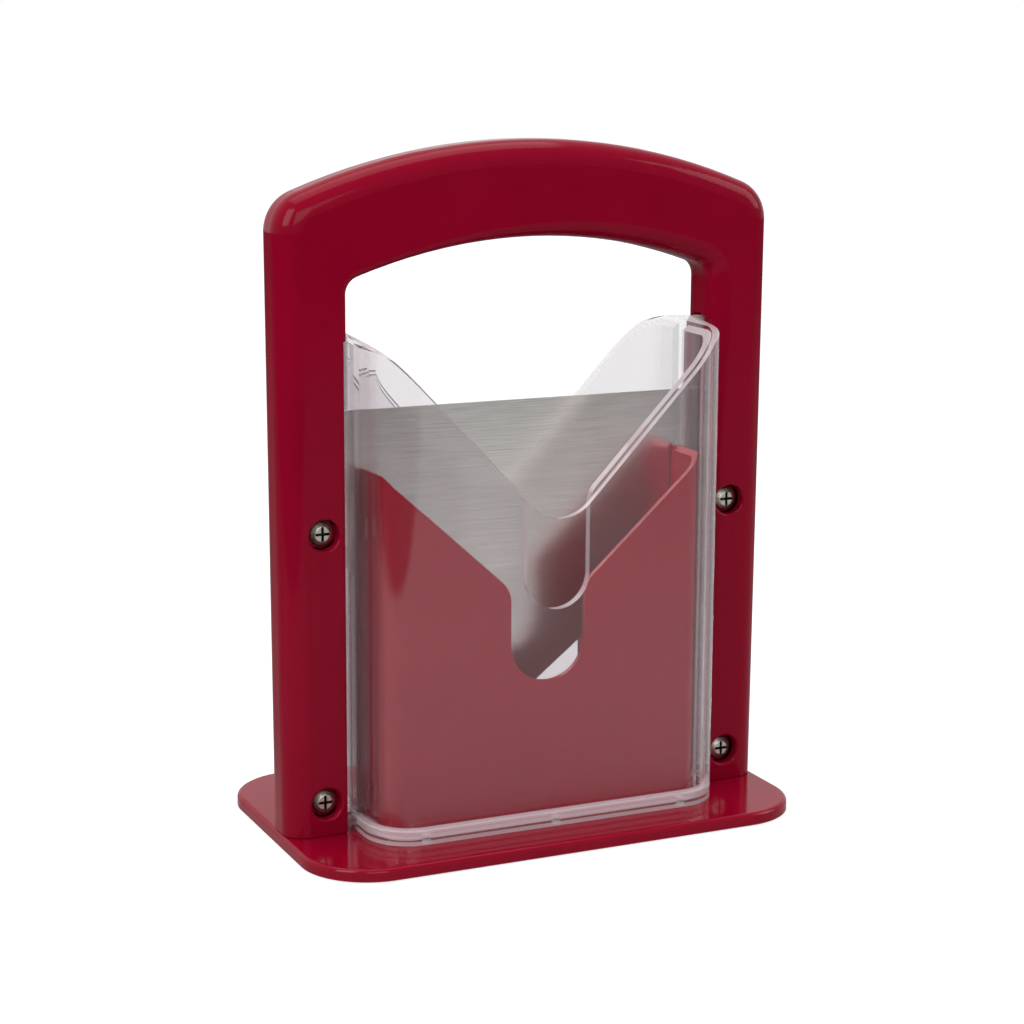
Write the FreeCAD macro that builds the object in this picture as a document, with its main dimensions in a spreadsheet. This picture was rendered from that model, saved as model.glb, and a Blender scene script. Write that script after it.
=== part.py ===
import FreeCAD, Part
import math
import os
import Sketcher
from FreeCAD import Placement, Rotation, Vector

# Bagel guillotine slicer: base, bagel cradle, nested clear guards and a lift-off blade handle.
# X runs along the blade, Y from front to back, Z up.
# The origin lies on the resting plane, under the middle of the base plate. Each piece is drawn
# around the blade plane, which stands in front of that middle, and is set forward at the end.

os.makedirs("parts", exist_ok=True)
doc = FreeCAD.newDocument("bagel_slicer")

# Every size of the object in millimetres, written once.
SIZES = {
    # base plate and its pads
    "base_width": 180.7,
    "base_depth": 111.4,
    "base_corner": 24.0,
    "base_edge": 1.6,
    "base_back_shift": 7.3,
    "base_low": 0.5,
    "base_top": 4.65,
    "pad_radius": 6.0,
    "pad_sink": 0.8,
    "pad_side_inset": 20.35,
    "pad_end_inset": 17.7,
    "pad_play": 0.12,
    # handle shells
    "shell_depth": 10.7,
    "foot_gap": 0.25,
    "foot_inset": 0.75,
    "side_lean": 1.2,
    "crown_top": 235.2,
    "crown_radius": 222.0,
    "shoulder_radius": 14.0,
    "upright_width": 22.0,
    "grip_height": 32.2,
    "grip_radius": 190.0,
    "grip_corner": 6.0,
    "shell_round": 8.0,
    "upright_round": 2.0,
    "grip_round": 7.2,
    "shell_wall": 3.9,
    "shell_face": 3.2,
    "recess_depth": 1.3,
    "recess_drop": 29.3,
    "recess_fall": 2.6,
    # handle screws and their places
    "screw_inset": 13.6,
    "screw_drop": 39.3,
    "screw_low": 15.8,
    "boss_radius": 4.9,
    "bore_radius": 5.25,
    "bore_depth": 4.6,
    "head_radius": 3.95,
    "head_height": 2.3,
    "shank_radius": 1.9,
    "shank_length": 12.6,
    "cross_width": 0.95,
    "cross_length": 4.9,
    "cross_depth": 1.5,
    "bore_rim": 0.9,
    "thread_end": 0.7,
    "cavity_corner": 8.0,
    "shank_play": 0.25,
    "thread_play": 0.02,
    # blade
    "blade_inset": 9.1,
    "blade_drop": 25.8,
    "blade_dip": 6.5,
    "blade_rise": 0.78,
    "blade_tab_gap": 0.1,
    "blade_thick": 1.2,
    "blade_corner": 2.0,
    "bevel_width": 3.2,
    "bevel_cut": 0.9,
    "blade_play": 0.05,
    # outer shields, which travel with the handle
    "shield_gap": 2.6,
    "front_margin": 16.4,
    "shield_wall": 2.4,
    "shield_corner": 16.0,
    "shield_low": 9.35,
    "shield_headroom": 0.8,
    "shield_fall": 1.7,
    "top_break": 14.0,
    "top_drop": 7.6,
    "top_round": 40.0,
    "lip_grip": 3.1,
    "lip_near": 0.7,
    "lip_far": 2.6,
    "lip_play": 0.1,
    "peak_trim": 0.64,
    "shield_slope": 1.056,
    "shield_bowl": 14.5,
    # inner guards, which stay on the base
    "nest_side_gap": 0.4,
    "nest_face_gap": 0.5,
    "guard_wall": 3.0,
    "guard_side": 2.6,
    "guard_corner": 13.0,
    "guard_gap": 3.4,
    "notch_step": 1.4,
    "guard_slope": 1.045,
    "ear_width": 5.7,
    "ear_trim": 1.5,
    "ear_round": 26.0,
    "finger_half": 11.6,
    "finger_depth": 26.5,
    "finger_blend": 10.0,
    "flange_top": 8.75,
    # bagel cradle
    "cradle_side_gap": 0.5,
    "cradle_face_gap": 4.5,
    "cradle_wall": 2.0,
    "cradle_corner": 6.0,
    "cradle_floor": 2.4,
    "cradle_step": 32.9,
    "cradle_slope": 0.908,
    "rim_rise": 1.0,
    "cradle_rim": 0.5,
    "cradle_turn": 3.6,
    "cradle_slot_half": 13.85,
    "cradle_slot_depth": 20.2,
    "cradle_blend": 10.0,
    "rib_thick": 2.2,
    "rib_inset": 15.1,
    "rib_step": 11.0,
    "rib_drop": 3.2,
    "rib_slope": 0.85,
    "rear_wall_top": 34.0,
    # screws under the base
    "base_head_radius": 3.4,
    "base_head_height": 1.9,
    "base_shank_radius": 1.5,
    "base_shank_length": 4.6,
    "base_bore_play": 0.35,
    "base_cross_length": 3.8,
    "base_cross_depth": 1.1,
    "base_screw_inset": 14.2,
    "cradle_screw_x": 22.0,
}

sizes = doc.addObject("Spreadsheet::Sheet", "sizes")
row = 1
for word, value in SIZES.items():
    sizes.set("A%d" % row, word)
    sizes.set("B%d" % row, str(value))
    sizes.setAlias("B%d" % row, word)
    row += 1
doc.recompute()


class Size:
    """A length that keeps its spreadsheet formula beside its present value."""

    def __init__(self, formula, value):
        self.formula = formula
        self.value = float(value)

    def __add__(self, other):
        other = size(other)
        return Size("(%s + %s)" % (self.formula, other.formula), self.value + other.value)

    def __sub__(self, other):
        other = size(other)
        return Size("(%s - %s)" % (self.formula, other.formula), self.value - other.value)

    def __mul__(self, other):
        other = size(other)
        return Size("(%s * %s)" % (self.formula, other.formula), self.value * other.value)

    def __truediv__(self, other):
        other = size(other)
        return Size("(%s / %s)" % (self.formula, other.formula), self.value / other.value)

    def __neg__(self):
        return Size("(-1 * %s)" % self.formula, -self.value)

    __radd__ = __add__
    __rmul__ = __mul__


def size(given):
    if isinstance(given, Size):
        return given
    if isinstance(given, str):
        return Size("sizes.%s" % given, SIZES[given])
    return Size(repr(given), given)


def root(given):
    return Size("sqrt(%s)" % given.formula, math.sqrt(given.value))


def bind(thing, slot, given):
    thing.setExpression(slot, size(given).formula)


# Sketch helpers: every corner of an outline is held to the sketch origin by its two distances.
def hold(sketch, part, end, x, y):
    for kind, axis, given in (("DistanceX", -2, size(x)), ("DistanceY", -1, size(y))):
        if abs(given.value) < 1e-9:
            sketch.addConstraint(Sketcher.Constraint("PointOnObject", part, end, axis))
            continue
        if given.value > 0:
            rule = Sketcher.Constraint(kind, -1, 1, part, end, given.value)
            formula = given.formula
        else:
            rule = Sketcher.Constraint(kind, part, end, -1, 1, -given.value)
            formula = (-given).formula
        sketch.setExpression("Constraints[%d]" % sketch.addConstraint(rule), formula)


def new_sketch(body, name, plane, offset=0.0):
    sketch = body.newObject("Sketcher::SketchObject", name)
    for part in body.Origin.OriginFeatures:
        if part.Role == plane:
            sketch.AttachmentSupport = (part, [""])
    sketch.MapMode = "FlatFace"
    if size(offset).value:
        sketch.AttachmentOffset = Placement(Vector(0, 0, size(offset).value), Rotation())
        bind(sketch, "AttachmentOffset.Base.z", offset)
    return sketch


def arc_between(start, end, radius, turn):
    chord = end - start
    half = chord.Length / 2
    lift = math.sqrt(max(radius * radius - half * half, 0.0))
    left = Vector(-chord.y, chord.x, 0).normalize()
    centre = start + chord * 0.5 + left * (lift * turn)
    circle = Part.Circle(centre, Vector(0, 0, 1), radius)
    first, last = (start, end) if turn > 0 else (end, start)
    a = math.atan2(first.y - centre.y, first.x - centre.x)
    b = math.atan2(last.y - centre.y, last.x - centre.x)
    if b < a:
        b += 2 * math.pi
    return Part.ArcOfCircle(circle, a, b)


def draw(sketch, corners):
    """Closed outline; a corner with a radius and a turn is reached along an arc."""
    spots = [Vector(size(c[0]).value, size(c[1]).value, 0) for c in corners]
    ends = []
    for i, corner in enumerate(corners):
        start, end = spots[i - 1], spots[i]
        if len(corner) == 2:
            ends.append((sketch.addGeometry(Part.LineSegment(start, end)), 1, 2))
            continue
        radius = size(corner[2])
        part = sketch.addGeometry(arc_between(start, end, radius.value, corner[3]))
        ends.append((part, 1, 2) if corner[3] > 0 else (part, 2, 1))
        rule = sketch.addConstraint(Sketcher.Constraint("Radius", part, radius.value))
        sketch.setExpression("Constraints[%d]" % rule, radius.formula)
    for i, corner in enumerate(corners):
        part, _, tail = ends[i]
        following, head, _ = ends[(i + 1) % len(ends)]
        sketch.addConstraint(Sketcher.Constraint("Coincident", part, tail, following, head))
        hold(sketch, part, tail, corner[0], corner[1])
    return sketch


def both_sides(half):
    """The right half of an outline, carried round by its mirror image."""
    whole = list(half)
    if abs(size(half[0][0]).value) < 1e-9:
        whole[0] = half[0] + tuple(half[1][2:])
    for i in range(len(half) - 1, -1, -1):
        flipped = (-size(half[i][0]), half[i][1])
        if i + 1 < len(half):
            flipped += tuple(half[i + 1][2:])
        if abs(flipped[0].value) > 1e-9:
            whole.append(flipped)
    return whole


def box_outline(x0, x1, y0, y1):
    return [(x0, y0), (x1, y0), (x1, y1), (x0, y1)]


def ring(sketch, x, y, radius):
    spot = Vector(size(x).value, size(y).value, 0)
    part = sketch.addGeometry(Part.Circle(spot, Vector(0, 0, 1), size(radius).value))
    rule = sketch.addConstraint(Sketcher.Constraint("Radius", part, size(radius).value))
    sketch.setExpression("Constraints[%d]" % rule, size(radius).formula)
    hold(sketch, part, 3, x, y)


# Feature helpers: each one checks that it really changed the volume.
def new_body(name):
    body = doc.addObject("PartDesign::Body", name)
    body.Label = name
    return body


def volume(body):
    return body.Shape.Volume if body.Shape and not body.Shape.isNull() else 0.0


def feature(body, kind, name, sketch, length, flip=False, extra=None):
    doc.recompute()
    before = volume(body)
    made = body.newObject(kind, name)
    made.Profile = sketch
    if length is not None:
        made.Length = size(length).value
        bind(made, "Length", length)
    made.Reversed = flip
    for word, value in (extra or {}).items():
        setattr(made, word, value)
    sketch.Visibility = False
    doc.recompute()
    if abs(volume(body) - before) < 1e-3:
        raise RuntimeError("%s changed nothing" % name)
    return made


def pad(body, name, sketch, length, flip=False):
    return feature(body, "PartDesign::Pad", name, sketch, length, flip)


def pocket(body, name, sketch, length, flip=False):
    return feature(body, "PartDesign::Pocket", name, sketch, length, flip)


def edges_where(shape, test):
    return ["Edge%d" % (i + 1) for i, edge in enumerate(shape.Edges) if test(edge)]


def upright_at(spots):
    """Picks edges that run along Z over one of the given places."""
    places = [(size(x).value, size(y).value) for x, y in spots]

    def test(edge):
        if len(edge.Vertexes) != 2:
            return False
        a, b = edge.Vertexes[0].Point, edge.Vertexes[1].Point
        if math.hypot(a.x - b.x, a.y - b.y) > 1e-4:
            return False
        return any(math.hypot(a.x - x, a.y - y) < 1e-3 for x, y in places)
    return test


def deep_at(spots):
    """Picks edges that run along Y over one of the given places."""
    places = [(size(x).value, size(z).value) for x, z in spots]

    def test(edge):
        if len(edge.Vertexes) != 2:
            return False
        a, b = edge.Vertexes[0].Point, edge.Vertexes[1].Point
        if math.hypot(a.x - b.x, a.z - b.z) > 1e-4:
            return False
        return any(math.hypot(a.x - x, a.z - z) < 1e-3 for x, z in places)
    return test


def round_off(body, name, amount, test):
    base = body.Tip
    doc.recompute()
    names = edges_where(base.Shape, test)
    if not names:
        raise RuntimeError("%s found no edge" % name)
    made = body.newObject("PartDesign::Fillet", name)
    made.Base = (base, names)
    made.Radius = size(amount).value
    bind(made, "Radius", amount)
    doc.recompute()
    return made


def flat_at(level):
    """Picks edges that lie at one height."""
    z = size(level).value

    def test(edge):
        box = edge.BoundBox
        return abs(box.ZMin - z) < 1e-4 and abs(box.ZMax - z) < 1e-4
    return test


def rim_at(depth, radius):
    """Picks round edges of one radius in the plane y = depth."""
    y = size(depth).value
    r = size(radius).value

    def test(edge):
        curve = edge.Curve
        return isinstance(curve, Part.Circle) and abs(curve.Radius - r) < 1e-4 and \
            abs(edge.BoundBox.YMin - y) < 1e-4 and abs(edge.BoundBox.YMax - y) < 1e-4
    return test


# Places that several pieces share. Each width follows the next one out, from the base inwards.
floor_z = size("base_top")
base_y = size("base_back_shift")
half_w = size("base_width") / 2
half_d = size("base_depth") / 2
seat_low = size("base_low") + "base_head_height"
foot_z = floor_z + "foot_gap"
foot_half = half_w - "foot_inset"
shoulder_half = foot_half + "side_lean"
upright_inner = foot_half - "upright_width"
screw_x = foot_half - "screw_inset"
blade_half = foot_half - "blade_inset"
blade_open = upright_inner - "blade_tab_gap"
lip_reach = upright_inner + "lip_grip"
shield_half = upright_inner - "shield_gap"
guard_half = shield_half - "shield_wall" - "nest_side_gap"
shield_front = half_d - base_y - "front_margin"
guard_front = shield_front - "shield_wall" - "nest_face_gap"
cradle_half = guard_half - "guard_side" - "cradle_side_gap"
cradle_front = guard_front - "guard_wall" - "cradle_face_gap"
guard_screw_x = guard_half - "base_screw_inset"
flange_y = (shield_front + guard_front - "guard_wall") / 2
# Each height follows the next one up, from the crown of the handle down to the blade's tip.
grip_low = size("crown_top") - "grip_height"
recess_top = grip_low - "recess_drop"
shield_peak = recess_top - "shield_headroom"
shield_notch = shield_peak + "peak_trim" - size("shield_slope") * shield_half
guard_notch = shield_notch + "notch_step"
cradle_notch = guard_notch - "cradle_step"
slot_low = cradle_notch - "cradle_slot_depth"
rib_notch = slot_low - "rib_drop"
blade_tip = rib_notch - "blade_dip"
blade_top = shield_peak - "blade_drop"
screw_high = blade_top - "screw_drop"
tab_z = blade_tip + size("blade_rise") * blade_open
cradle_spots = [(size("cradle_screw_x"), size(0.0)), (-size("cradle_screw_x"), size(0.0))]
guard_spots = {}
for side in (-1, 1):
    guard_spots[side] = [(x, flange_y * side)
                         for x in (-guard_screw_x, size(0.0), guard_screw_x)]
handle_spots = {
    "upper_left": (-screw_x, screw_high),
    "upper_right": (screw_x, screw_high),
    "lower_left": (-screw_x, size("screw_low")),
    "lower_right": (screw_x, size("screw_low")),
}

# Base plate: one flat moulding with round corners and a softened top edge.
base = new_body("base_plate")
plate = new_sketch(base, "plate_outline", "XY_Plane", "base_low")
draw(plate, box_outline(-half_w, half_w, base_y - half_d, base_y + half_d))
pad(base, "plate", plate, floor_z - "base_low")
corners = [(x, y) for x in (-half_w, half_w) for y in (base_y - half_d, base_y + half_d)]
round_off(base, "plate_corners", "base_corner", upright_at(corners))
round_off(base, "plate_edge", "base_edge", flat_at("base_top"))
pad_x = half_w - "pad_side_inset"
pad_y = half_d - "pad_end_inset"
pad_spots = [(pad_x * i, base_y + pad_y * j) for i in (-1, 1) for j in (-1, 1)]
sinks = new_sketch(base, "pad_sinks", "XY_Plane", "base_low")
for x, y in pad_spots:
    ring(sinks, x, y, size("pad_radius") + "pad_play")
pocket(base, "pad_seats", sinks, "pad_sink", True)
below = cradle_spots + guard_spots[-1] + guard_spots[1]
heads = new_sketch(base, "head_sinks", "XY_Plane", "base_low")
for x, y in below:
    ring(heads, x, y, size("base_head_radius") + "base_bore_play")
pocket(base, "head_seats", heads, "base_head_height", True)
shanks = new_sketch(base, "shank_circles", "XY_Plane", "base_low")
for x, y in below:
    ring(shanks, x, y, size("base_shank_radius") + "shank_play")
pocket(base, "shank_holes", shanks, floor_z - "base_low", True)

# Four round pads sit in the shallow seats and carry the plate.
pads = new_body("foot_pads")
pads.AllowCompound = True
pad_circles = new_sketch(pads, "pad_circles", "XY_Plane")
for x, y in pad_spots:
    ring(pad_circles, x, y, "pad_radius")
pad(pads, "pads", pad_circles, size("base_low") + "pad_sink")

# Bagel cradle: front panel with a V and a finger slot, side returns, floor and four pairs of ribs.
cradle = new_body("bagel_cradle")
ch = cradle_half
cf = cradle_front
cw = size("cradle_wall")
gap = size("guard_gap")
tray = new_sketch(cradle, "floor_outline", "XY_Plane", floor_z)
draw(tray, box_outline(-ch, ch, -cf, cf))
pad(cradle, "cradle_floor_plate", tray, "cradle_floor")
ribs = new_sketch(cradle, "rib_outlines", "XY_Plane", floor_z)
rt = size("rib_thick") / 2
rib_far = ch - "rib_inset"
rib_near = rib_far - "rib_step"
for middle in (rib_near, rib_far, -rib_near, -rib_far):
    for side in (-1, 1):
        draw(ribs, box_outline(middle - rt, middle + rt, gap * side, (cf - cw / 2) * side))
rib_high = rib_notch + size("rib_slope") * (rib_far + rt)
pad(cradle, "ribs", ribs, rib_high + 1.0 - floor_z)
vee = new_sketch(cradle, "rib_vee", "XZ_Plane", -cf)
reach = rib_far + 4.0
draw(vee, both_sides([(0.0, rib_notch), (reach, rib_notch + size("rib_slope") * reach),
                      (reach, rib_high + 12.0), (0.0, rib_high + 12.0)]))
pocket(cradle, "rib_tops", vee, cf * 2, True)
low_wall = new_sketch(cradle, "rear_wall_outline", "XY_Plane", floor_z)
draw(low_wall, box_outline(-ch, ch, cf - cw, cf))
pad(cradle, "rear_wall", low_wall, size("rear_wall_top") - floor_z)
panel = new_sketch(cradle, "panel_outline", "XY_Plane", floor_z)
draw(panel, [(-ch, -gap), (-ch, -cf), (ch, -cf), (ch, -gap),
             (ch - cw, -gap), (ch - cw, cw - cf), (cw - ch, cw - cf), (cw - ch, -gap)])
rim_x = ch - "cradle_rim"
rim_z = cradle_notch + size("cradle_slope") * rim_x + "rim_rise"
pad(cradle, "panel", panel, rim_z - floor_z)
round_off(cradle, "panel_corners", "cradle_corner",
          upright_at([(ch, -cf), (-ch, -cf), (ch, cf), (-ch, cf)]))
round_off(cradle, "panel_inside", size("cradle_corner") - cw,
          upright_at([(ch - cw, cw - cf), (cw - ch, cw - cf)]))
slot = size("cradle_slot_half")
slot_top = cradle_notch + size("cradle_slope") * slot
notch = new_sketch(cradle, "notch_outline", "XZ_Plane", -cf)
turn_x = ch - "cradle_turn"
turn_z = cradle_notch + size("cradle_slope") * turn_x
draw(notch, both_sides([(0.0, slot_low), (slot, slot_low + slot, slot, 1), (slot, slot_top),
                        (turn_x, turn_z), (rim_x, rim_z),
                        (rim_x, turn_z + 10.0), (0.0, turn_z + 10.0)]))
pocket(cradle, "notch", notch, cf * 2, True)
round_off(cradle, "notch_blends", "cradle_blend", deep_at([(slot, slot_top), (-slot, slot_top)]))
bosses = new_sketch(cradle, "boss_circles", "XY_Plane", floor_z)
for x, y in cradle_spots:
    ring(bosses, x, y, size("base_shank_radius") + 2.0)
pad(cradle, "bosses", bosses, size("base_shank_length") + 1.0)
pilots = new_sketch(cradle, "pilot_circles", "XY_Plane", floor_z)
for x, y in cradle_spots:
    ring(pilots, x, y, size("base_shank_radius") + "thread_play")
pocket(cradle, "pilots", pilots, seat_low + "base_shank_length" - floor_z + 0.3, True)


# Inner guards: clear walls with a V, a finger slot and a thick flange that is screwed to the base.
def inner_guard(name, side):
    body = new_body(name)
    gh = guard_half
    gf = guard_front
    inner_x = gh - "guard_side"
    inner_y = gf - "guard_wall"
    out_x = shield_half
    out_y = shield_front
    flange = new_sketch(body, name + "_flange_outline", "XY_Plane", floor_z)
    draw(flange, [(-out_x, gap * side), (-out_x, out_y * side), (out_x, out_y * side), (out_x, gap * side),
                  (inner_x, gap * side), (inner_x, inner_y * side),
                  (-inner_x, inner_y * side), (-inner_x, gap * side)])
    pad(body, name + "_flange", flange, size("flange_top") - floor_z)
    walls = new_sketch(body, name + "_wall_outline", "XY_Plane", floor_z)
    draw(walls, [(-gh, gap * side), (-gh, gf * side), (gh, gf * side), (gh, gap * side),
                 (inner_x, gap * side), (inner_x, inner_y * side),
                 (-inner_x, inner_y * side), (-inner_x, gap * side)])
    vee_top = guard_notch + size("guard_slope") * gh
    pad(body, name + "_walls", walls, vee_top + 2.0 - floor_z)
    round_off(body, name + "_flange_corners", "shield_corner",
              upright_at([(out_x, out_y * side), (-out_x, out_y * side)]))
    round_off(body, name + "_wall_corners", "guard_corner",
              upright_at([(gh, gf * side), (-gh, gf * side)]))
    round_off(body, name + "_inside_corners", size("guard_corner") - "guard_wall",
              upright_at([(inner_x, inner_y * side), (-inner_x, inner_y * side)]))
    finger = size("finger_half")
    finger_low = guard_notch - "finger_depth"
    vee_z = guard_notch + size("guard_slope") * finger
    ear_x = gh - "ear_width"
    cut = new_sketch(body, name + "_notch_outline", "XZ_Plane")
    draw(cut, both_sides([(0.0, finger_low), (finger, finger_low + finger, finger, 1),
                          (finger, vee_z), (ear_x, guard_notch + size("guard_slope") * ear_x),
                          (gh, vee_top - "ear_trim", "ear_round", -1), (gh + 6.0, vee_top - "ear_trim"),
                          (gh + 6.0, vee_top + 12.0), (0.0, vee_top + 12.0)]))
    pocket(body, name + "_notch", cut, out_y + 4.0, side < 0)
    round_off(body, name + "_notch_blends", "finger_blend", deep_at([(finger, vee_z), (-finger, vee_z)]))
    holes = new_sketch(body, name + "_pilot_circles", "XY_Plane", floor_z)
    for x, y in guard_spots[side]:
        ring(holes, x, y, size("base_shank_radius") + "thread_play")
    pocket(body, name + "_pilots", holes, seat_low + "base_shank_length" - floor_z + 0.3, True)
    return body


guards = [inner_guard("inner_guard_front", -1), inner_guard("inner_guard_rear", 1)]


# Outer shields: thinner clear walls whose side lips are clamped between the two handle shells.
def outer_shield(name, side):
    body = new_body(name)
    sh = shield_half
    sf = shield_front
    sw = size("shield_wall")
    near = size("lip_near") * side
    far = size("lip_far") * side
    tip = lip_reach
    walls = new_sketch(body, name + "_wall_outline", "XY_Plane", "shield_low")
    draw(walls, [(-tip, near), (-tip, far), (-sh, far), (-sh, sf * side), (sh, sf * side), (sh, far),
                 (tip, far), (tip, near), (sh - sw, near), (sh - sw, (sf - sw) * side),
                 (sw - sh, (sf - sw) * side), (sw - sh, near)])
    pad(body, name + "_walls", walls, shield_peak + 2.0 - "shield_low")
    round_off(body, name + "_corners", "shield_corner", upright_at([(sh, sf * side), (-sh, sf * side)]))
    round_off(body, name + "_inside_corners", size("shield_corner") - sw,
              upright_at([(sh - sw, (sf - sw) * side), (sw - sh, (sf - sw) * side)]))
    low = shield_notch
    far_x = tip + 6.0
    far_z = low + size("shield_slope") * far_x
    cut = new_sketch(body, name + "_notch_outline", "XZ_Plane")
    draw(cut, both_sides([(0.0, low), (far_x, far_z), (far_x, far_z + 8.0), (0.0, far_z + 8.0)]))
    pocket(body, name + "_notch", cut, sf + 4.0, side < 0)
    round_off(body, name + "_bowl", "shield_bowl", deep_at([(0.0, low)]))
    slope = new_sketch(body, name + "_top_outline", "YZ_Plane", tip + 1.0)
    peak = shield_peak
    draw(slope, [(0.0, peak), (size("top_break") * side, peak - "shield_fall"),
                 ((sf + 2.0) * side, peak - "shield_fall" - "top_drop", "top_round", -side),
                 ((sf + 2.0) * side, peak + 6.0), (0.0, peak + 6.0)])
    pocket(body, name + "_top", slope, (tip + 1.0) * 2)
    return body


shields = [outer_shield("outer_shield_front", -1), outer_shield("outer_shield_rear", 1)]


# Handle shells: two deep mouldings that meet on the blade plane and form the arch.
def ring_outline(inset, low):
    """The arch outline, set inwards by a wall thickness."""
    outer_foot = foot_half - inset
    outer_top = shoulder_half - inset
    crown = size("crown_radius") - inset
    crown_z = size("crown_top") - "crown_radius" + root(crown * crown - outer_top * outer_top)
    inner_x = upright_inner + inset
    grip = size("grip_radius") + inset
    grip_z = grip_low - "grip_radius" + root(grip * grip - inner_x * inner_x)
    outline = [(outer_foot, low), (outer_top, crown_z), (-outer_top, crown_z, crown, 1),
               (-outer_foot, low), (-inner_x, low), (-inner_x, grip_z),
               (inner_x, grip_z, grip, -1), (inner_x, low)]
    return outline, (outer_top, crown_z), (inner_x, grip_z)


def handle_shell(name, side):
    depth = size("shell_depth")
    flip = side > 0
    blank = new_body(name + "_blank")
    outline, shoulder, corner = ring_outline(size(0.0), foot_z)
    arch = new_sketch(blank, name + "_arch", "XZ_Plane")
    draw(arch, outline)
    pad(blank, name + "_arch_pad", arch, depth, flip)
    round_off(blank, name + "_shoulders", "shoulder_radius",
              deep_at([shoulder, (-shoulder[0], shoulder[1])]))
    round_off(blank, name + "_grip_corners", "grip_corner",
              deep_at([corner, (-corner[0], corner[1])]))
    face_y = depth.value * side
    inside_x = upright_inner.value + 0.5
    inside_z = grip_low.value + 0.5

    def on_face(edge):
        box = edge.BoundBox
        return abs(box.YMin - face_y) < 1e-4 and abs(box.YMax - face_y) < 1e-4

    def is_inner(edge):
        spot = edge.valueAt((edge.FirstParameter + edge.LastParameter) / 2)
        return abs(spot.x) < inside_x and spot.z < inside_z

    def is_foot(edge):
        return edge.BoundBox.ZMax < foot_z.value + 0.01

    round_off(blank, name + "_outer_round", "shell_round",
              lambda e: on_face(e) and not is_inner(e) and not is_foot(e))
    # The grip is rounded fully where the hand holds it and only slightly along the uprights.
    soft = doc.addObject("Part::Fillet", name + "_soft")
    soft.Base = blank
    small = SIZES["upright_round"]
    large = SIZES["grip_round"]
    rounds = []
    for i, edge in enumerate(blank.Shape.Edges):
        if not on_face(edge) or not is_inner(edge):
            continue
        first, last = edge.Vertexes[0].Point, edge.Vertexes[-1].Point
        radii = [large if abs(p.x) < upright_inner.value - 1e-3 else small for p in (first, last)]
        rounds.append((i + 1, radii[0], radii[1]))
    soft.Edges = rounds
    doc.recompute()
    shell = new_body(name)
    shell.BaseFeature = soft
    doc.recompute()
    wall = size("shell_wall")
    hollow, hollow_corner, _ = ring_outline(wall, foot_z + wall)
    cavity = new_sketch(shell, name + "_cavity_outline", "XZ_Plane")
    draw(cavity, hollow)
    pocket(shell, name + "_cavity", cavity, depth - "shell_face", not flip)
    round_off(shell, name + "_cavity_corners", "cavity_corner",
              deep_at([hollow_corner, (-hollow_corner[0], hollow_corner[1])]))
    posts = new_sketch(shell, name + "_boss_circles", "XZ_Plane")
    for x, z in handle_spots.values():
        ring(posts, x, z, "boss_radius")
    pad(shell, name + "_bosses", posts, depth - "shell_face" + 0.5, flip)
    play = size("blade_play")
    inner_x = upright_inner - 2.0
    beds = new_sketch(shell, name + "_blade_beds", "XZ_Plane")
    for x0, x1 in ((inner_x, blade_half + play), (-blade_half - play, -inner_x)):
        draw(beds, box_outline(x0, x1, tab_z - play, blade_top + play))
    pocket(shell, name + "_blade_bed", beds, size("blade_thick") / 2 + play, not flip)
    grooves = new_sketch(shell, name + "_lip_grooves", "XZ_Plane")
    reach = lip_reach + "lip_play"
    for x0, x1 in ((inner_x, reach), (-reach, -inner_x)):
        draw(grooves, box_outline(x0, x1, foot_z - 2.0, recess_top))
    pocket(shell, name + "_lip_groove", grooves, size("lip_far") + "lip_play", not flip)
    for hand in (-1, 1):
        relief = new_sketch(shell, name + "_relief_%s" % ("left" if hand < 0 else "right"), "YZ_Plane",
                            (upright_inner + "recess_depth") * hand)
        draw(relief, [(0.0, foot_z - 2.0), (0.0, recess_top),
                      ((depth + 1.0) * side, recess_top - "recess_fall"),
                      ((depth + 1.0) * side, foot_z - 2.0)])
        pocket(shell, name + "_relief_cut_%s" % ("left" if hand < 0 else "right"), relief,
               size("recess_depth") + 1.0, hand < 0)
    if side < 0:
        bores = new_sketch(shell, name + "_bore_circles", "XZ_Plane", depth)
        for x, z in handle_spots.values():
            ring(bores, x, z, "bore_radius")
        pocket(shell, name + "_bores", bores, "bore_depth")
        round_off(shell, name + "_bore_rims", "bore_rim", rim_at(-depth, "bore_radius"))
        clear = new_sketch(shell, name + "_clear_circles", "XZ_Plane", depth)
        for x, z in handle_spots.values():
            ring(clear, x, z, size("shank_radius") + "shank_play")
        pocket(shell, name + "_clear_holes", clear, depth)
    else:
        threads = new_sketch(shell, name + "_thread_circles", "XZ_Plane")
        for x, z in handle_spots.values():
            ring(threads, x, z, size("shank_radius") + "thread_play")
        pocket(shell, name + "_threads", threads,
               size("shank_length") - (depth - "bore_depth") + "thread_end", False)
    return shell


shells = [handle_shell("handle_shell_front", -1), handle_shell("handle_shell_rear", 1)]

# Blade: one flat sheet with a V edge, ground on its rear face and held by the two upper screws.
blade = new_body("blade")
bx = blade_half
sheet = new_sketch(blade, "blade_outline", "XZ_Plane")
draw(sheet, both_sides([(0.0, blade_tip), (blade_open, tab_z), (bx, tab_z),
                        (bx, blade_top), (0.0, blade_top)]))
blank_sheet = pad(blade, "blade_sheet", sheet, "blade_thick")
blank_sheet.Midplane = True
doc.recompute()
round_off(blade, "blade_corners", "blade_corner",
          deep_at([(bx, tab_z), (-bx, tab_z), (bx, blade_top), (-bx, blade_top)]))
holes = new_sketch(blade, "hole_circles", "XZ_Plane", -size("blade_thick"))
for word in ("upper_left", "upper_right"):
    ring(holes, handle_spots[word][0], handle_spots[word][1], size("shank_radius") + "shank_play")
pocket(blade, "blade_holes", holes, size("blade_thick") * 2, True)
rear_y = size("blade_thick") / 2
past_y = rear_y + size("bevel_cut") * 0.5
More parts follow.
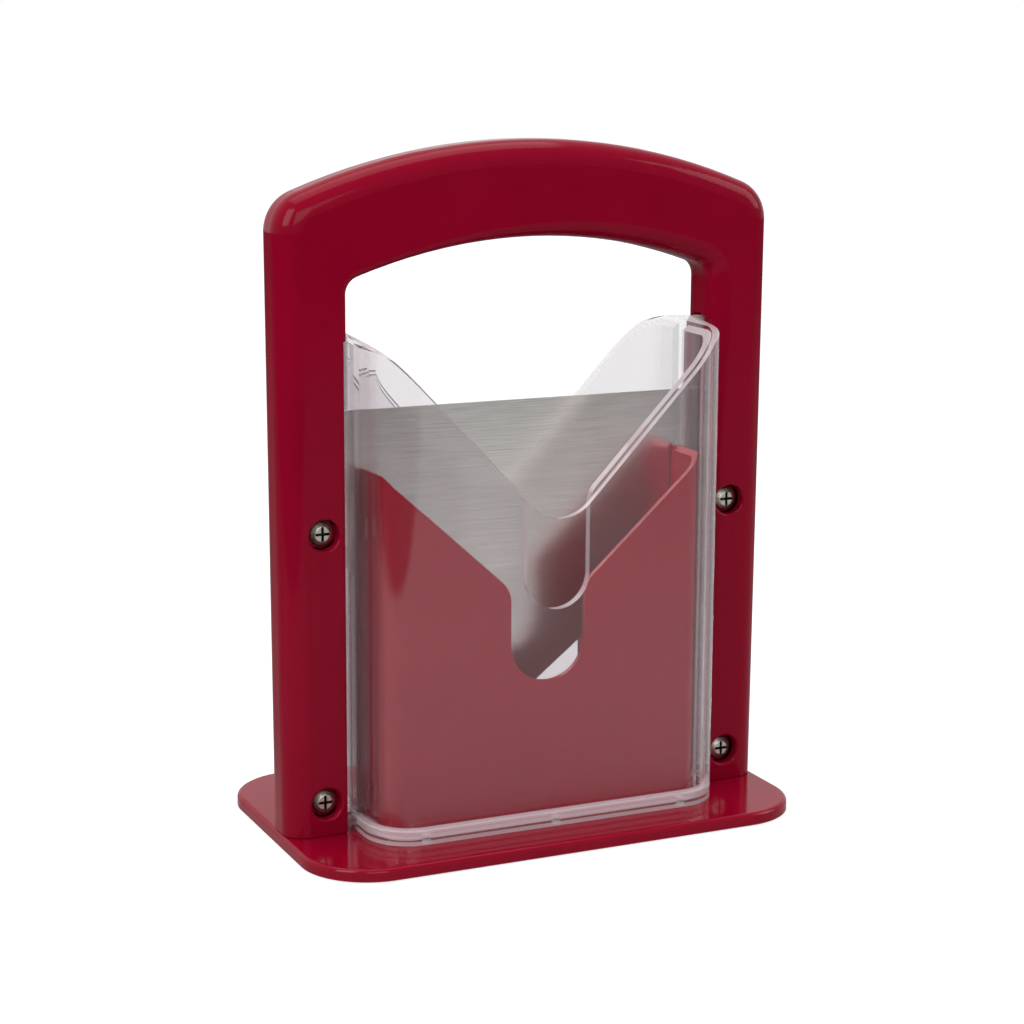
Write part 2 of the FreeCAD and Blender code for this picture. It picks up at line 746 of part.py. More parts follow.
past_z = blade_tip + size("bevel_width") * 1.5
for hand in (-1, 1):
    word = "left" if hand < 0 else "right"
    section = new_sketch(blade, "grind_section_" + word, "YZ_Plane")
    draw(section, [(rear_y - "bevel_cut", blade_tip - 4.0), (past_y, blade_tip - 4.0),
                   (past_y, past_z), (rear_y - "bevel_cut", blade_tip)])
    grind = feature(blade, "PartDesign::Pocket", "grind_" + word, section, blade_open, False, {
        "UseCustomVector": True, "AlongSketchNormal": True,
        "Direction": Vector(hand, 0, SIZES["blade_rise"])})
    bind(grind, "Direction.z", "blade_rise")
doc.recompute()


# Pan-head screws with a cross recess: the head hangs below the seat, the shank rises above it.
def screw(name, head_r, head_h, shank_r, length, cross_w, cross_l, cross_d):
    body = new_body(name)
    side_h = head_h * 0.45
    profile = new_sketch(body, name + "_profile", "XZ_Plane")
    draw(profile, [(0.0, -head_h), (head_r * 0.62, -head_h), (head_r, -side_h), (head_r, 0.0),
                   (shank_r, 0.0), (shank_r, length - shank_r), (shank_r * 0.4, length), (0.0, length)])
    turned = body.newObject("PartDesign::Revolution", name + "_turned")
    turned.Profile = profile
    turned.ReferenceAxis = (profile, ["V_Axis"])
    turned.Angle = 360.0
    profile.Visibility = False
    doc.recompute()
    crown = head_h.value

    def brow(edge):
        box = edge.BoundBox
        return isinstance(edge.Curve, Part.Circle) and abs(box.ZMin - box.ZMax) < 1e-6 and \
            box.ZMin < -side_h.value + 1e-3
    round_off(body, name + "_brow", head_h * 0.3, brow)
    cross = new_sketch(body, name + "_cross", "XY_Plane", -head_h)
    a = cross_w / 2
    b = cross_l / 2
    draw(cross, [(a, a), (a, b), (-a, b), (-a, a), (-b, a), (-b, -a), (-a, -a), (-a, -b),
                 (a, -b), (a, -a), (b, -a), (b, a)])
    pocket(body, name + "_cross_cut", cross, cross_d, True)
    return body


def place(body, x, y, z, turned=False):
    """Puts a piece at its place, measured from the middle of the base plate."""
    spin = Rotation(Vector(1, 0, 0), -90) if turned else Rotation()
    forward = size(y) - "base_back_shift"
    body.Placement = Placement(Vector(size(x).value, forward.value, size(z).value), spin)
    for word, given in (("x", x), ("y", forward), ("z", z)):
        bind(body, "Placement.Base." + word, given)


screws = []
for word, (x, z) in handle_spots.items():
    one = screw("handle_screw_" + word, size("head_radius"), size("head_height"), size("shank_radius"),
                size("shank_length"), size("cross_width"), size("cross_length"), size("cross_depth"))
    place(one, x, size("bore_depth") - "shell_depth", z, True)
    screws.append(one)
names = {-1: "front", 1: "rear"}
under = [("cradle_screw_left", cradle_spots[1]), ("cradle_screw_right", cradle_spots[0])]
for side in (-1, 1):
    for word, spot in zip(("left", "middle", "right"), guard_spots[side]):
        under.append(("guard_screw_%s_%s" % (names[side], word), spot))
for name, (x, y) in under:
    one = screw(name, size("base_head_radius"), size("base_head_height"), size("base_shank_radius"),
                size("base_shank_length"), size("cross_width"), size("base_cross_length"),
                size("base_cross_depth"))
    place(one, x, y, seat_low)
    screws.append(one)

# Every feature must have worked and every piece must be sound before anything is written.
pieces = [base, pads, cradle] + guards + shields + shells + [blade]
for piece in pieces:
    place(piece, 0.0, 0.0, 0.0)
pieces += screws
doc.recompute()
for thing in doc.Objects:
    if "Invalid" in thing.State or "Error" in thing.State:
        raise RuntimeError("%s failed: %s" % (thing.Name, thing.State))
for piece in pieces:
    if piece.Shape.isNull() or not piece.Shape.isValid():
        raise RuntimeError("%s is not a sound shape" % piece.Label)
for piece in pieces:
    piece.Shape.exportStep("parts/%s.step" % piece.Label)
    box = piece.Shape.BoundBox
    print("%-26s %2d solid  x %7.2f..%7.2f  y %7.2f..%7.2f  z %7.2f..%7.2f" % (
        piece.Label, len(piece.Shape.Solids), box.XMin, box.XMax, box.YMin, box.YMax, box.ZMin, box.ZMax))
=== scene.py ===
import math

import bpy
from mathutils import Matrix, Vector


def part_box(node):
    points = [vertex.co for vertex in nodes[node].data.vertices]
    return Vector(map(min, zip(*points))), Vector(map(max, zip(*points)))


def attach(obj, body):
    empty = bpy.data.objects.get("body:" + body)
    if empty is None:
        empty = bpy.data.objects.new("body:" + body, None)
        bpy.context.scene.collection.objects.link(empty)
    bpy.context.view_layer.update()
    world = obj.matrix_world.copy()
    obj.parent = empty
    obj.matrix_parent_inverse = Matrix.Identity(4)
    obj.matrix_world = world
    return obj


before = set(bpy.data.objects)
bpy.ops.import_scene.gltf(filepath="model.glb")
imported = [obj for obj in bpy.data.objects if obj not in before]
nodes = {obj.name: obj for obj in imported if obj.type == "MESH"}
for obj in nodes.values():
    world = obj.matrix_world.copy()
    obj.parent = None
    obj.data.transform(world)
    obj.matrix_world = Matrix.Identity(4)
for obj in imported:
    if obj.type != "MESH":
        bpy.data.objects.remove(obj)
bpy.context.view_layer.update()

# Camera. It stands in front of the slicer, to its left and a little above it, as in the photo, and
# looks at the blade plane about half way up. Lengths are in metres, here and below.
turn, rise, roll = math.radians(-24.906), math.radians(10.964), math.radians(0.331)
look_height, stand_off = 0.1175, 0.8145
lens_mm, film_mm = 83.28, 36.0
shift_across, shift_upward = -0.00987, -0.02759
blade_low, blade_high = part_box("blade")
blade_y = (blade_low.y + blade_high.y) / 2
back = Vector((math.sin(turn) * math.cos(rise), -math.cos(turn) * math.cos(rise), math.sin(rise)))
level = (-back).cross(Vector((0.0, 0.0, 1.0))).normalized()
over = level.cross(-back)
across = level * math.cos(roll) + over * math.sin(roll)
upward = over * math.cos(roll) - level * math.sin(roll)
stand_point = Vector((0.0, blade_y, look_height)) + back * stand_off
eye = bpy.data.cameras.new("photo_camera")
eye.lens = lens_mm
eye.sensor_width = film_mm
eye.shift_x = shift_across
eye.shift_y = shift_upward
camera = bpy.data.objects.new("photo_camera", eye)
bpy.context.collection.objects.link(camera)
camera.matrix_world = Matrix((
    (across.x, upward.x, back.x, stand_point.x),
    (across.y, upward.y, back.y, stand_point.y),
    (across.z, upward.z, back.z, stand_point.z),
    (0.0, 0.0, 0.0, 1.0)))
bpy.context.scene.camera = camera


# Base plate. Glossy crimson injection-moulded plastic, about 4 mm thick, with big round corners.
# Its skin is nearly a mirror, with a faint ripple from the mould and a slightly darker mottling.
def finish_nodes(name):
    """An empty finish: its node tree, its shader, the places on the piece and the output."""
    material = bpy.data.materials.new(name)
    material.use_nodes = True
    tree = material.node_tree
    tree.nodes.clear()
    output = tree.nodes.new("ShaderNodeOutputMaterial")
    shader = tree.nodes.new("ShaderNodeBsdfPrincipled")
    tree.links.new(shader.outputs["BSDF"], output.inputs["Surface"])
    place = tree.nodes.new("ShaderNodeTexCoord")
    return material, tree, shader, place, output


def noise_over(tree, place, scale, detail, stretch=(1.0, 1.0, 1.0)):
    """Noise over the piece's own places, with scale in blotches per metre."""
    mapping = tree.nodes.new("ShaderNodeMapping")
    mapping.inputs["Scale"].default_value = stretch
    tree.links.new(place.outputs["Object"], mapping.inputs["Vector"])
    noise = tree.nodes.new("ShaderNodeTexNoise")
    noise.inputs["Scale"].default_value = scale
    noise.inputs["Detail"].default_value = detail
    tree.links.new(mapping.outputs["Vector"], noise.inputs["Vector"])
    return noise.outputs["Fac"]


def spread(tree, source, low, high, low_at=0.3, high_at=0.7):
    """Low where the source is at or under low_at, high at or over high_at, and even between."""
    ranged = tree.nodes.new("ShaderNodeMapRange")
    ranged.inputs["From Min"].default_value = low_at
    ranged.inputs["From Max"].default_value = high_at
    ranged.inputs["To Min"].default_value = low
    ranged.inputs["To Max"].default_value = high
    tree.links.new(source, ranged.inputs["Value"])
    return ranged.outputs["Result"]


def tint_between(tree, source, first, second, low_at=0.3, high_at=0.7):
    """The first colour where the source is low, the second where it is high."""
    ramp = tree.nodes.new("ShaderNodeValToRGB")
    ramp.color_ramp.elements[0].position = low_at
    ramp.color_ramp.elements[0].color = (*first, 1.0)
    ramp.color_ramp.elements[1].position = high_at
    ramp.color_ramp.elements[1].color = (*second, 1.0)
    tree.links.new(source, ramp.inputs["Fac"])
    return ramp.outputs["Color"]


def ripple(tree, shader, source, strength, depth):
    """A fine relief of the given depth over the skin."""
    bump = tree.nodes.new("ShaderNodeBump")
    bump.inputs["Strength"].default_value = strength
    bump.inputs["Distance"].default_value = depth
    tree.links.new(source, bump.inputs["Height"])
    tree.links.new(bump.outputs["Normal"], shader.inputs["Normal"])


def crimson_plastic(name, dark, light, smooth, rough, gloss):
    """Moulded crimson plastic that wanders between a dark and a light tint."""
    material, tree, shader, place, _ = finish_nodes(name)
    mottle = noise_over(tree, place, scale=38.0, detail=4.0)
    tree.links.new(tint_between(tree, mottle, dark, light), shader.inputs["Base Color"])
    haze = noise_over(tree, place, scale=90.0, detail=5.0)
    tree.links.new(spread(tree, haze, smooth, rough), shader.inputs["Roughness"])
    skin = noise_over(tree, place, scale=260.0, detail=2.0)
    ripple(tree, shader, skin, strength=0.12, depth=0.0002)
    shader.inputs["IOR"].default_value = 1.46
    shader.inputs["Specular IOR Level"].default_value = gloss
    return material


base_red = crimson_plastic("base_crimson", dark=(0.215, 0.0008, 0.0135), light=(0.235, 0.0011, 0.0155),
                           smooth=0.08, rough=0.13, gloss=0.2)
nodes["base_plate"].material_slots[0].material = base_red

# Foot pads. Four thin black rubber discs stuck into shallow seats under the base plate.
# Their skin is dull and slightly dusty.
pad_rubber, tree, shader, place, _ = finish_nodes("foot_pad_rubber")
dust = noise_over(tree, place, scale=900.0, detail=5.0)
tree.links.new(tint_between(tree, dust, (0.012, 0.012, 0.013), (0.03, 0.029, 0.028)),
               shader.inputs["Base Color"])
tree.links.new(spread(tree, dust, 0.62, 0.85), shader.inputs["Roughness"])
ripple(tree, shader, dust, strength=0.5, depth=0.0003)
nodes["foot_pads"].material_slots[0].material = pad_rubber

# Bagel cradle. The same crimson plastic, one thin-walled moulding behind the clear front guards.
# Its tint is painted lighter than the base's, as painted light. It is screwed down from below,
# and its V and finger slot have softened edges.
# Painted light: the cradle's crimson is much lighter than the base's, for the light it lacks behind the
# clear walls.
cradle_red_painted_lighter = crimson_plastic("cradle_crimson_painted_lighter", dark=(0.335, 0.0012, 0.019), light=(0.355, 0.0015, 0.021),
                             smooth=0.14, rough=0.2, gloss=0.3)
nodes["bagel_cradle"].material_slots[0].material = cradle_red_painted_lighter

# Cradle side tongues. The cradle's thin side walls go on behind the blade, up to the same rim, and
# turn in at the rear corners. They are part of the same crimson moulding and stand on its floor,
# and a narrow strip of each stands just in front of the blade.
_, cradle_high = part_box("bagel_cradle")
tongue_out, tongue_rear = cradle_high.x, cradle_high.y
tongue_wall, tongue_corner = 0.002, 0.006
tongue_fore = -0.006
strip_fore, strip_rear = -0.011, -0.0086
tongue_low, tongue_high = 0.0068, 0.1272
rim_level_from, rim_slope = 0.0555, 0.908
corner_steps = 8


def tongue_lines():
    """The outer and the inner line of a tongue, seen from above."""
    middle_x, middle_y = tongue_out - tongue_corner, tongue_rear - tongue_corner
    outer = [(tongue_out, tongue_fore)]
    inner = [(tongue_out - tongue_wall, tongue_fore)]
    for step in range(corner_steps + 1):
        angle = math.radians(90.0 * step / corner_steps)
        for line, radius in ((outer, tongue_corner), (inner, tongue_corner - tongue_wall)):
            line.append((middle_x + radius * math.cos(angle), middle_y + radius * math.sin(angle)))
    return outer, inner


def strip_lines():
    """The outer and the inner line of the strip in front of the blade, seen from above."""
    return ([(tongue_out, strip_fore), (tongue_out, strip_rear)],
            [(tongue_out - tongue_wall, strip_fore), (tongue_out - tongue_wall, strip_rear)])


def wall_faces(first, count):
    """The faces of an upright wall: count pairs of outer corners, then count pairs of inner ones."""
    faces = []
    inside = 2 * count
    for k in range(first, first + inside - 2, 2):
        faces += [(k, k + 2, k + 3, k + 1),
                  (k + 2 + inside, k + inside, k + inside + 1, k + inside + 3),
                  (k + 1, k + 3, k + inside + 3, k + inside + 1),
                  (k + 2, k, k + inside, k + inside + 2)]
    last = first + inside - 2
    faces += [(first + inside, first, first + 1, first + inside + 1),
              (last, last + inside, last + inside + 1, last + 1)]
    return faces


for side, word in ((-1, "left"), (1, "right")):
    corners = []
    faces = []
    for outer, inner in (tongue_lines(), strip_lines()):
        faces += wall_faces(len(corners), len(outer))
        for x, y in outer + inner:
            top = tongue_high - rim_slope * max(0.0, rim_level_from - x)
            corners += [(side * x, y, tongue_low), (side * x, y, top)]
    if side < 0:
        faces = [tuple(reversed(face)) for face in faces]
    tongue_mesh = bpy.data.meshes.new("cradle_tongue_" + word)
    tongue_mesh.from_pydata(corners, [], faces)
    tongue_mesh.materials.append(cradle_red_painted_lighter)
    tongue = bpy.data.objects.new("cradle_tongue_" + word, tongue_mesh)
    bpy.context.collection.objects.link(tongue)
    rounding = tongue.modifiers.new("moulded_edges", "BEVEL")
    rounding.width = 0.0004
    rounding.segments = 2
    rounding.limit_method = "ANGLE"
    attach(tongue, "stand")


# Inner guards. Clear hard plastic about 3 mm thick, front and rear, each with a thick flange that
# is screwed to the base. The plastic has a faint lilac tint, and its edges carry painted milky lilac
# highlights.
def reckon(tree, sum_kind, *terms):
    """One sum, whose terms are plain numbers or the outputs of other nodes."""
    step = tree.nodes.new("ShaderNodeMath")
    step.operation = sum_kind
    for term_slot, term in zip(step.inputs, terms):
        if isinstance(term, float):
            term_slot.default_value = term
        else:
            tree.links.new(term, term_slot)
    return step.outputs["Value"]


def along_axes(tree, source):
    """The X, Y and Z parts of a place or of a direction."""
    split = tree.nodes.new("ShaderNodeSeparateXYZ")
    tree.links.new(source, split.inputs["Vector"])
    return split.outputs


def square_faces(tree, at, facing, middle, reach, share):
    """The given share on faces square to one axis that lie within reach of its middle value."""
    close = reckon(tree, "COMPARE", at, middle, reach)
    square = spread(tree, reckon(tree, "ABSOLUTE", facing), 0.0, share, 0.8, 0.95)
    return reckon(tree, "MULTIPLY", close, square)


# Cut faces with painted milky highlights lie this close to the middle of the finger slot and to the
# blade, and the painted highlight lines round the foot of the clear walls lie between these two heights.
finger_slot_reach, blade_lip_reach = 0.0135, 0.0045
band_foot, band_top = 0.0046, 0.0146


def clear_plastic(name, tint, edge_highlight_tint, veil, bands):
    """Clear plastic with painted milky highlights on its edges, whose shadow is let through with the
    veil's tint.
    """
    material, tree, shader, place, output = finish_nodes(name)
    shader.inputs["IOR"].default_value = 1.05
    shader.inputs["Coat Weight"].default_value = 0.75
    shader.inputs["Coat IOR"].default_value = 1.45
    shader.inputs["Coat Roughness"].default_value = 0.02
    skin_faces = tree.nodes.new("ShaderNodeNewGeometry")
    facing = along_axes(tree, skin_faces.outputs["Normal"])
    at = along_axes(tree, place.outputs["Object"])
    # The cut and moulded edges face up or down. The light they catch is painted on them as a milky lilac
    # highlight.
    edge = spread(tree, reckon(tree, "ABSOLUTE", facing["Z"]), 0.0, 1.0, 0.2, 0.45)
    # Painted highlight: the rounded corners are painted milky where they are seen from the side, for the
    # light they gather.
    bent = reckon(tree, "ABSOLUTE", reckon(tree, "MULTIPLY", facing["X"], facing["Y"]))
    glance = tree.nodes.new("ShaderNodeLayerWeight")
    rim = reckon(tree, "MULTIPLY", spread(tree, bent, 0.0, 1.0, 0.12, 0.3),
                 spread(tree, glance.outputs["Facing"], 0.0, 0.92, 0.5, 0.8))
    # The upright cut faces along the finger slot and beside the blade get the painted milky highlight
    # too.
    slot_sides = square_faces(tree, at["X"], facing["X"], 0.0, finger_slot_reach, 0.9)
    lip_sides = square_faces(tree, at["Y"], facing["Y"], blade_y, blade_lip_reach, 0.3)
    # Each stop of the painted highlight lines round the foot is a share of the band's height and a share
    # of the milky tint.
    painted_foot_lines = tree.nodes.new("ShaderNodeValToRGB")
    for height, share in bands:
        stop = painted_foot_lines.color_ramp.elements.new(height)
        stop.color = (share, share, share, 1.0)
    painted_foot_lines.color_ramp.elements[0].color = (bands[0][1],) * 3 + (1.0,)
    painted_foot_lines.color_ramp.elements[-1].color = (0.0, 0.0, 0.0, 1.0)
    tree.links.new(spread(tree, at["Z"], 0.0, 1.0, band_foot, band_top), painted_foot_lines.inputs["Fac"])
    for source in (rim, slot_sides, lip_sides, painted_foot_lines.outputs["Color"]):
        edge = reckon(tree, "MAXIMUM", edge, source)
    cast = noise_over(tree, place, scale=24.0, detail=2.0)
    paler = tuple(min(1.0, part + 0.012) for part in tint)
    # The painted highlights mix the milky tint into the clear body colour.
    body_and_edge = tree.nodes.new("ShaderNodeMix")
    body_and_edge.data_type = "RGBA"
    tree.links.new(edge, body_and_edge.inputs["Factor"])
    tree.links.new(tint_between(tree, cast, tint, paler), body_and_edge.inputs["A"])
    body_and_edge.inputs["B"].default_value = (*edge_highlight_tint, 1.0)
    tree.links.new(body_and_edge.outputs["Result"], shader.inputs["Base Color"])
    tree.links.new(spread(tree, edge, 0.997, 0.5, 0.0, 1.0), shader.inputs["Transmission Weight"])
    smear = spread(tree, noise_over(tree, place, scale=60.0, detail=4.0), 0.0, 0.012)
    tree.links.new(reckon(tree, "MULTIPLY_ADD", edge, 0.12, smear), shader.inputs["Roughness"])
    wave = noise_over(tree, place, scale=30.0, detail=1.0)
    ripple(tree, shader, wave, strength=0.015, depth=0.0003)
    # Lamps reach what stands behind the clear walls, and light that is caught in an edge gets out.
    open_way = tree.nodes.new("ShaderNodeBsdfTransparent")
    open_way.inputs["Color"].default_value = (*veil, 1.0)
    rays = tree.nodes.new("ShaderNodeLightPath")
    lamp_light = reckon(tree, "MAXIMUM", rays.outputs["Is Shadow Ray"], rays.outputs["Is Diffuse Ray"])
    caught = reckon(tree, "GREATER_THAN", rays.outputs["Glossy Depth"], 1.5)
    wall_or_way = tree.nodes.new("ShaderNodeMixShader")
    tree.links.new(reckon(tree, "MAXIMUM", lamp_light, caught), wall_or_way.inputs["Fac"])
    tree.links.new(shader.outputs["BSDF"], wall_or_way.inputs[1])
    tree.links.new(open_way.outputs["BSDF"], wall_or_way.inputs[2])
    tree.links.new(wall_or_way.outputs["Shader"], output.inputs["Surface"])
    return material


# The flange gets two painted highlight lines with a dark one between them, from its foot to its top.
flange_painted_lines = ((0.03, 0.95), (0.12, 0.95), (0.17, 0.15), (0.22, 0.15), (0.27, 0.95), (0.40, 0.95),
                (0.42, 0.0))
guard_clear = clear_plastic("guard_clear", tint=(0.91, 0.893, 0.903), edge_highlight_tint=(0.76, 0.67, 0.71),
                            veil=(0.93, 0.92, 0.925), bands=flange_painted_lines)
# The rear guard is a lighter copy of the same clear plastic: its paler tint and paler edges are painted
# light.
guard_painted_lighter = clear_plastic("guard_painted_lighter", tint=(0.925, 0.915, 0.922), edge_highlight_tint=(0.85, 0.82, 0.84),
                           veil=(0.94, 0.93, 0.935), bands=flange_painted_lines)
nodes["inner_guard_front"].material_slots[0].material = guard_clear
nodes["inner_guard_rear"].material_slots[0].material = guard_painted_lighter

# Outer shields. Thinner clear walls that travel with the handle and slide over the inner guards.
# Their side lips are clamped between the handle's two shells, and their foot carries one painted
# highlight line.
shield_painted_lines = ((0.45, 0.95), (0.54, 0.95), (0.57, 0.0))
shield_clear = clear_plastic("shield_clear", tint=(0.92, 0.903, 0.913), edge_highlight_tint=(0.78, 0.685, 0.725),
                             veil=(0.94, 0.93, 0.935), bands=shield_painted_lines)
# The rear shield is a lighter copy of the same clear plastic: its paler tint and paler edges are painted
# light.
shield_painted_lighter = clear_plastic("shield_painted_lighter", tint=(0.93, 0.92, 0.927), edge_highlight_tint=(0.86, 0.83, 0.85),
                            veil=(0.945, 0.935, 0.94), bands=shield_painted_lines)
nodes["outer_shield_front"].material_slots[0].material = shield_clear
nodes["outer_shield_rear"].material_slots[0].material = shield_painted_lighter

# Blade. Stainless steel sheet, brushed along its length, with a ground V edge below.
# The brushing is a fine horizontal grain, over clouds that change how sharply the steel mirrors.
blade_steel, tree, shader, place, _ = finish_nodes("blade_brushed_steel")
grain = noise_over(tree, place, scale=60.0, detail=6.0, stretch=(1.0, 8.0, 34.0))
cloud = noise_over(tree, place, scale=16.0, detail=3.0, stretch=(1.0, 1.0, 1.6))
# Painted reflection: tall, slightly darker columns stand in for the blurred upright bands the steel
# mirrors.
columns = noise_over(tree, place, scale=22.0, detail=2.0, stretch=(1.0, 1.0, 0.12))
steel_tint = tint_between(tree, grain, (0.88, 0.85, 0.805), (1.0, 0.98, 0.94))
painted_reflection_columns = tint_between(tree, columns, (0.88, 0.88, 0.88), (1.0, 1.0, 1.0))
brushed = tree.nodes.new("ShaderNodeMix")
brushed.data_type = "RGBA"
brushed.blend_type = "MULTIPLY"
brushed.inputs["Factor"].default_value = 1.0
tree.links.new(steel_tint, brushed.inputs["A"])
tree.links.new(painted_reflection_columns, brushed.inputs["B"])
tree.links.new(brushed.outputs["Result"], shader.inputs["Base Color"])
tree.links.new(spread(tree, cloud, 0.19, 0.27), shader.inputs["Roughness"])
ripple(tree, shader, grain, strength=0.35, depth=0.0001)
shader.inputs["Metallic"].default_value = 1.0
shader.inputs["Anisotropic"].default_value = 0.5
nodes["blade"].material_slots[0].material = blade_steel

# Handle shells. Two deep crimson mouldings that meet on the blade plane and form the arch.
# Their skin is darker than the stand's and evenly glossy.
handle_red = crimson_plastic("handle_crimson", dark=(0.2, 0.0009, 0.0135), light=(0.216, 0.0012, 0.0152),
                             smooth=0.1, rough=0.14, gloss=0.11)
nodes["handle_shell_front"].material_slots[0].material = handle_red
nodes["handle_shell_rear"].material_slots[0].material = handle_red

# Screws. Plated steel with a cross recess: four hold the handle's shells together, and eight go up
# through the base. The plating is bright, with fine scratches and a warm cast, and the recess is
# painted nearly black as painted shade.
cross_reach = (0.00245, 0.0027)
recess_starts = (0.00015, 0.00035)


def screw_plating(name, along, sideways, length, head_width):
    """Plating for screws that lie along one axis, with their heads at its low end."""
    material, tree, shader, place, _ = finish_nodes(name)
    marks = noise_over(tree, place, scale=1500.0, detail=4.0, stretch=(1.0, 1.0, 3.0))
    share = along_axes(tree, place.outputs["Generated"])
    off_centre = tree.nodes.new("ShaderNodeCombineXYZ")
    for axis, word in zip("XY", sideways):
        offset = reckon(tree, "MULTIPLY_ADD", share[word], head_width, -head_width / 2)
        tree.links.new(offset, off_centre.inputs[axis])
    radius = tree.nodes.new("ShaderNodeVectorMath")
    radius.operation = "LENGTH"
    tree.links.new(off_centre.outputs["Vector"], radius.inputs[0])
    within_cross = spread(tree, radius.outputs["Value"], 1.0, 0.0, *cross_reach)
    below_top = spread(tree, share[along], 0.0, 1.0, *(depth / length for depth in recess_starts))
    # Painted shade: inside the cross recess the plating is painted nearly black.
    colour = tree.nodes.new("ShaderNodeMix")
    colour.data_type = "RGBA"
    tree.links.new(reckon(tree, "MULTIPLY", within_cross, below_top), colour.inputs["Factor"])
    tree.links.new(tint_between(tree, marks, (0.5, 0.47, 0.41), (0.78, 0.75, 0.68)), colour.inputs["A"])
    colour.inputs["B"].default_value = (0.035, 0.032, 0.028, 1.0)
    tree.links.new(colour.outputs["Result"], shader.inputs["Base Color"])
    tree.links.new(spread(tree, marks, 0.32, 0.5), shader.inputs["Roughness"])
    ripple(tree, shader, marks, strength=0.2, depth=0.0001)
    shader.inputs["Metallic"].default_value = 1.0
    return material


handle_screw = [high - low for low, high in zip(*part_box("handle_screw_lower_left"))]
base_screw = [high - low for low, high in zip(*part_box("cradle_screw_left"))]
handle_plating = screw_plating("handle_screw_plating", along="Y", sideways="XZ",
                               length=handle_screw[1], head_width=handle_screw[0])
base_plating = screw_plating("base_screw_plating", along="Z", sideways="XY",
                             length=base_screw[2], head_width=base_screw[0])
for word, piece in nodes.items():
    if "screw" in word:
        piece.material_slots[0].material = handle_plating if "handle" in word else base_plating

# Table. A white top that keeps the slicer's soft shadow and fades into the white room.
# Mirroring faces see it dimmer behind the slicer, and nearly black from 0.4 m out in front on the
# left, where the room's dark side would stand.
table_half = 4.0
table_mesh = bpy.data.meshes.new("table")
table_mesh.from_pydata([(-table_half, -table_half, 0), (table_half, -table_half, 0),
                        (table_half, table_half, 0), (-table_half, table_half, 0)], [], [(0, 1, 2, 3)])
table = bpy.data.objects.new("table", table_mesh)
bpy.context.collection.objects.link(table)


def seen_straight(tree):
    """One where the room is seen directly or straight through clear plastic, nought elsewhere."""
    rays = tree.nodes.new("ShaderNodeLightPath")
    unturned = reckon(tree, "LESS_THAN", rays.outputs["Glossy Depth"], 0.5)
    through = reckon(tree, "MULTIPLY", rays.outputs["Is Transmission Ray"], unturned)
    return reckon(tree, "MAXIMUM", rays.outputs["Is Camera Ray"], through)


table_white, tree, shader, place, output = finish_nodes("table_white")
shader.inputs["Roughness"].default_value = 0.9
shader.inputs["Specular IOR Level"].default_value = 0.0
from_middle = tree.nodes.new("ShaderNodeVectorMath")
from_middle.operation = "LENGTH"
tree.links.new(place.outputs["Object"], from_middle.inputs[0])
near = spread(tree, from_middle.outputs["Value"], 1.0, 0.0, 0.3, 1.6)
front_left = tree.nodes.new("ShaderNodeVectorMath")
front_left.operation = "DOT_PRODUCT"
front_left.inputs[1].default_value = (-0.8, -0.6, 0.0)
tree.links.new(place.outputs["Object"], front_left.inputs[0])
dark_room = spread(tree, front_left.outputs["Value"], 0.0, 0.88, 0.41, 0.45)
behind = spread(tree, along_axes(tree, place.outputs["Object"])["Y"], 0.0, 0.45, 0.02, 0.12)
rays = tree.nodes.new("ShaderNodeLightPath")
in_mirrors = reckon(tree, "MULTIPLY", reckon(tree, "MAXIMUM", dark_room, behind),
                    rays.outputs["Is Glossy Ray"])
shade = reckon(tree, "MULTIPLY", spread(tree, near, 0.2, 0.42, 0.0, 1.0),
               spread(tree, in_mirrors, 1.0, 0.0, 0.0, 1.0))
tree.links.new(shade, shader.inputs["Base Color"])
lift = tree.nodes.new("ShaderNodeEmission")
lift.inputs["Color"].default_value = (1.0, 1.0, 1.0, 1.0)
tree.links.new(reckon(tree, "MULTIPLY", seen_straight(tree), spread(tree, near, 1.0, 0.7, 0.0, 1.0)),
               lift.inputs["Strength"])
joined = tree.nodes.new("ShaderNodeAddShader")
tree.links.new(shader.outputs["BSDF"], joined.inputs[0])
tree.links.new(lift.outputs["Emission"], joined.inputs[1])
tree.links.new(joined.outputs["Shader"], output.inputs["Surface"])
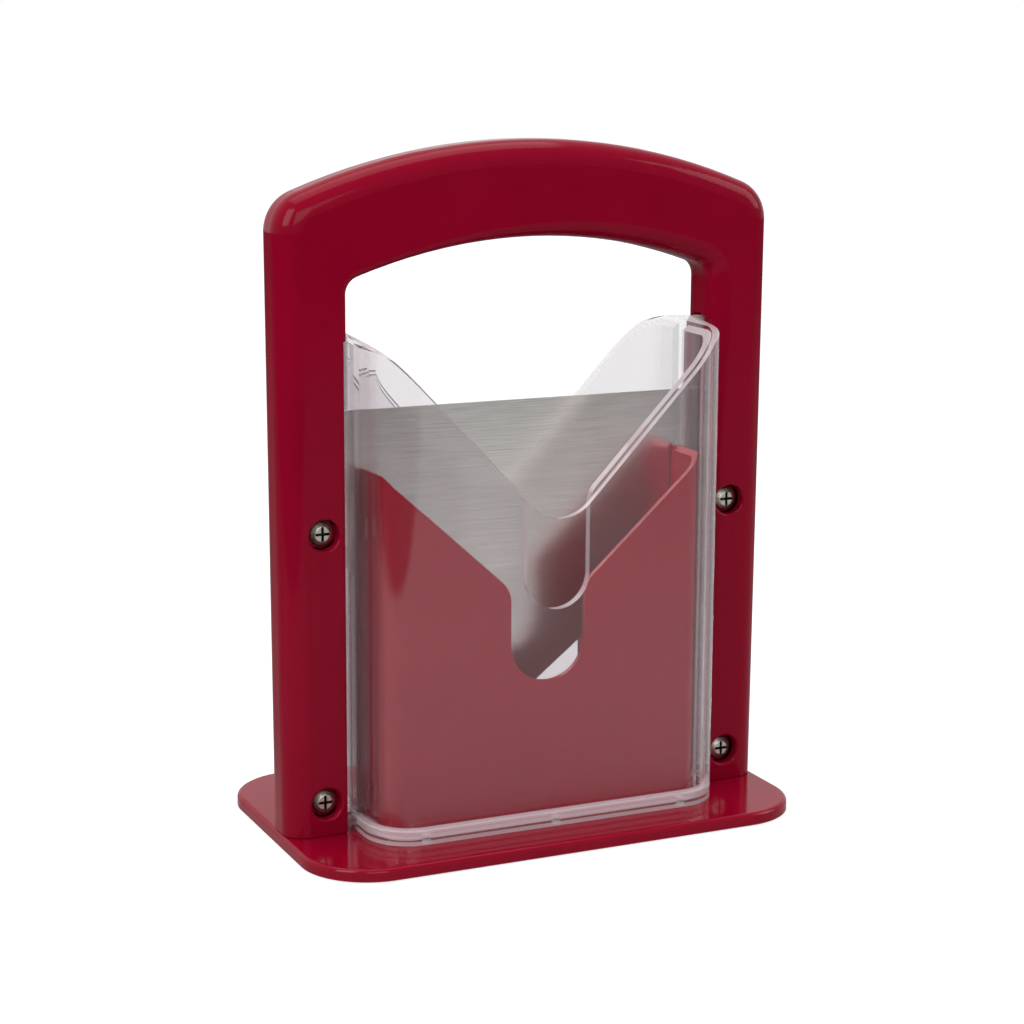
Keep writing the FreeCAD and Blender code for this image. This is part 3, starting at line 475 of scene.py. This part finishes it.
table_mesh.materials.append(table_white)

# Room. It is pure white where it is seen, also through the clear plastic. It lights the slicer
# less, and more from behind than from the front.
room = bpy.data.worlds.new("white_room")
bpy.context.scene.world = room
room.use_nodes = True
tree = room.node_tree
tree.nodes.clear()
output = tree.nodes.new("ShaderNodeOutputWorld")
glow = tree.nodes.new("ShaderNodeBackground")
glow.inputs["Color"].default_value = (1.0, 1.0, 1.0, 1.0)
dim = tree.nodes.new("ShaderNodeBackground")
dim.inputs["Color"].default_value = (1.0, 1.0, 1.0, 1.0)
way = tree.nodes.new("ShaderNodeTexCoord")
tree.links.new(spread(tree, along_axes(tree, way.outputs["Generated"])["Y"], 0.36, 0.85, -0.3, 0.6),
               dim.inputs["Strength"])
mixed = tree.nodes.new("ShaderNodeMixShader")
tree.links.new(seen_straight(tree), mixed.inputs["Fac"])
tree.links.new(dim.outputs["Background"], mixed.inputs[1])
tree.links.new(glow.outputs["Background"], mixed.inputs[2])
tree.links.new(mixed.outputs["Shader"], output.inputs["Surface"])


# Lamps. Four large soft panels hang on the left, on the right, above and in front, and face the
# slicer's middle. The left one is the strongest, and the right one is the weakest.
def soft_lamp(name, spot, width, height, watts):
    light = bpy.data.lights.new(name, "AREA")
    light.shape = "RECTANGLE"
    light.size = width
    light.size_y = height
    light.energy = watts
    lamp = bpy.data.objects.new(name, light)
    bpy.context.collection.objects.link(lamp)
    lamp.location = spot
    lamp.rotation_euler = (lamp_aim - Vector(spot)).to_track_quat("-Z", "Y").to_euler()


lamp_aim = Vector((0.0, 0.0, 0.1))
soft_lamp("lamp_left", spot=(-1.1, -0.55, 0.9), width=0.7, height=0.9, watts=11.5)
soft_lamp("lamp_right", spot=(1.2, -0.5, 0.8), width=0.7, height=0.9, watts=7.2)
soft_lamp("lamp_above", spot=(0.0, 0.2, 1.5), width=1.4, height=1.0, watts=10.5)
soft_lamp("lamp_front", spot=(-0.3, -1.6, 0.9), width=1.0, height=0.8, watts=8.0)

bpy.context.scene.view_settings.view_transform = "Standard"
